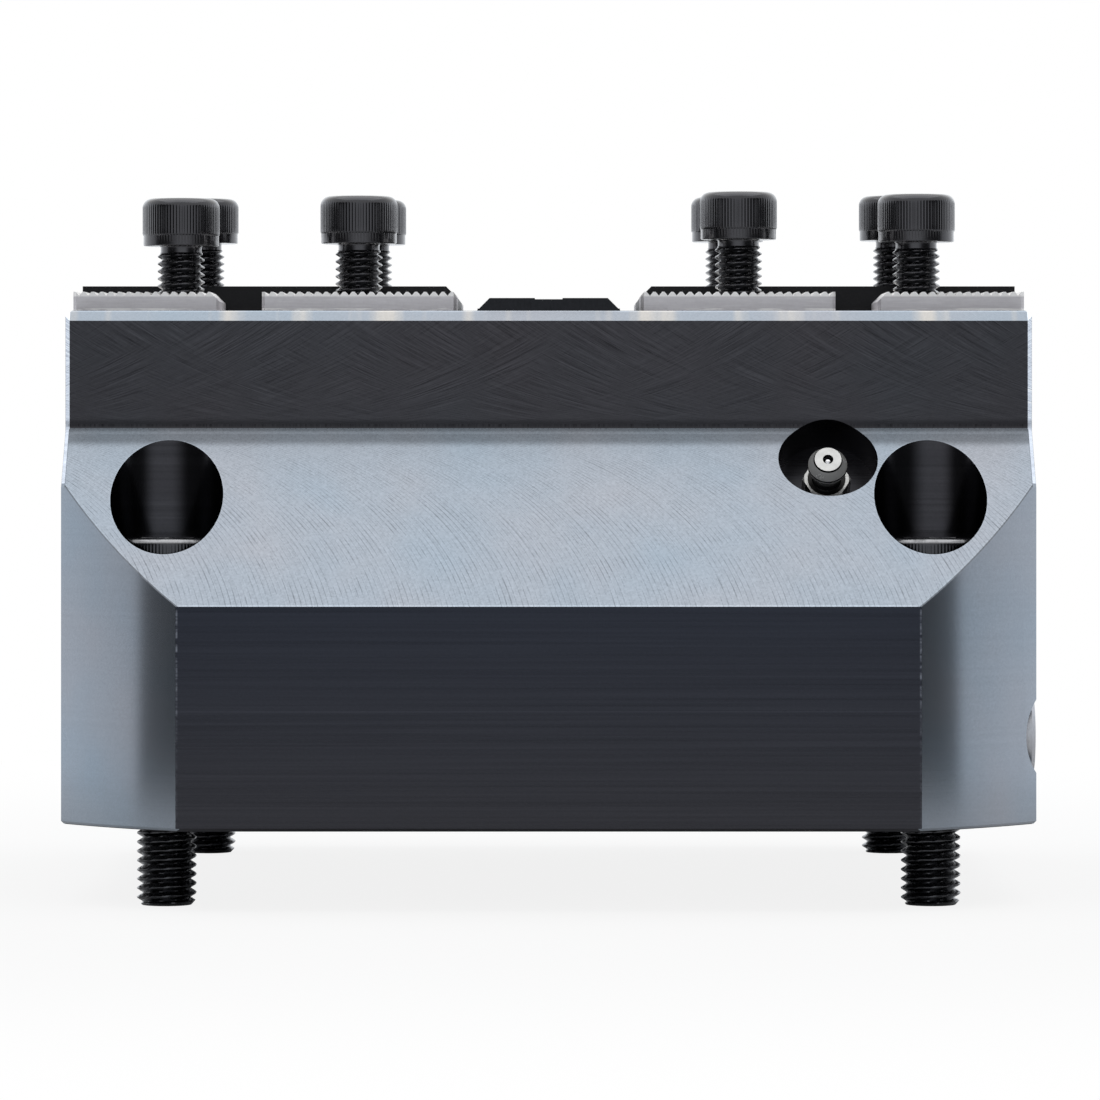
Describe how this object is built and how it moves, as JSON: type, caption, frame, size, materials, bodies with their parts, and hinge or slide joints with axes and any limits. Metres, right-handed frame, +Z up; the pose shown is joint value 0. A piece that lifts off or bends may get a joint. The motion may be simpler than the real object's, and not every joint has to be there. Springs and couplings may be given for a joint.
{
  "type": "self centering vise",
  "caption": "Self centering vise: square steel body with serrated base jaws that a piston and its wedge block draw together.",
  "frame": {"origin": "centre of the body's bottom face, on the machine table", "axes": "+Z up, out of the table; X along the travel of the jaws; -Y is the front that the picture shows"},
  "size_m": [0.16, 0.16, 0.1194],
  "materials": {
    "black_body_steel": "black oxide over milled steel, satin",
    "ground_jaw_steel": "ground strips, black oxide centre rib",
    "black_screw_steel": "black oxide, light oil",
    "black_cover_steel": "black oxide, satin",
    "machined_steel": "turned and milled, bare",
    "seal_rubber": "smooth",
    "guide_plastic": "moulded",
    "zinc_nipple_steel": "zinc plated",
    "ball_steel": "polished"
  },
  "bodies": {
    "housing": {"body": "black_body_steel", "bottom_cover": "machined_steel", "bottom_cover_ring": "seal_rubber", "bottom_cover_screws": "black_screw_steel", "rod_seal": "seal_rubber", "mounting_screw_front_left": "black_screw_steel", "mounting_screw_front_right": "black_screw_steel", "mounting_screw_rear_left": "black_screw_steel", "mounting_screw_rear_right": "black_screw_steel", "centre_cover": "black_cover_steel", "centre_cover_screws": "black_screw_steel", "grease_nipple_front": "zinc_nipple_steel", "grease_nipple_rear": "zinc_nipple_steel", "port_plug_front": "black_cover_steel", "port_plug_rear": "black_cover_steel"},
    "piston_group": {"piston": "machined_steel", "piston_seal": "seal_rubber", "piston_guide_ring": "guide_plastic", "wedge_block": "machined_steel", "wedge_screw": "black_screw_steel"},
    "jaw_left": {"base_jaw_left": "ground_jaw_steel", "jaw_screw_front_left_outer": "black_screw_steel", "jaw_screw_front_left_inner": "black_screw_steel", "jaw_screw_rear_left_outer": "black_screw_steel", "jaw_screw_rear_left_inner": "black_screw_steel"},
    "jaw_right": {"base_jaw_right": "ground_jaw_steel", "jaw_screw_front_right_inner": "black_screw_steel", "jaw_screw_front_right_outer": "black_screw_steel", "jaw_screw_rear_right_inner": "black_screw_steel", "jaw_screw_rear_right_outer": "black_screw_steel"},
    "ball_front": {"check_ball_front": "ball_steel"},
    "ball_rear": {"check_ball_rear": "ball_steel"}
  },
  "joints": [
    {"name": "piston_slide", "type": "slide", "parent": "housing", "child": "piston_group", "axis": [0, 0, 1], "range_m": [0, 0.00824]},
    {"name": "jaw_left_slide", "type": "slide", "parent": "housing", "child": "jaw_left", "axis": [1, 0, 0], "range_m": [0, 0.003]},
    {"name": "jaw_right_slide", "type": "slide", "parent": "housing", "child": "jaw_right", "axis": [-1, 0, 0], "range_m": [0, 0.003]},
    {"name": "ball_front_slide", "type": "slide", "parent": "housing", "child": "ball_front", "axis": [0, 0.866, -0.5], "range_m": [0, 0.0005], "stiffness_N_per_m": 300, "springref_m": -0.001},
    {"name": "ball_rear_slide", "type": "slide", "parent": "housing", "child": "ball_rear", "axis": [0, -0.866, -0.5], "range_m": [0, 0.0005], "stiffness_N_per_m": 300, "springref_m": -0.001}
  ],
  "couplings": [
    {"joint": "jaw_left_slide", "follows": "piston_slide", "ratio": 0.36397},
    {"joint": "jaw_right_slide", "follows": "piston_slide", "ratio": 0.36397}
  ]
}
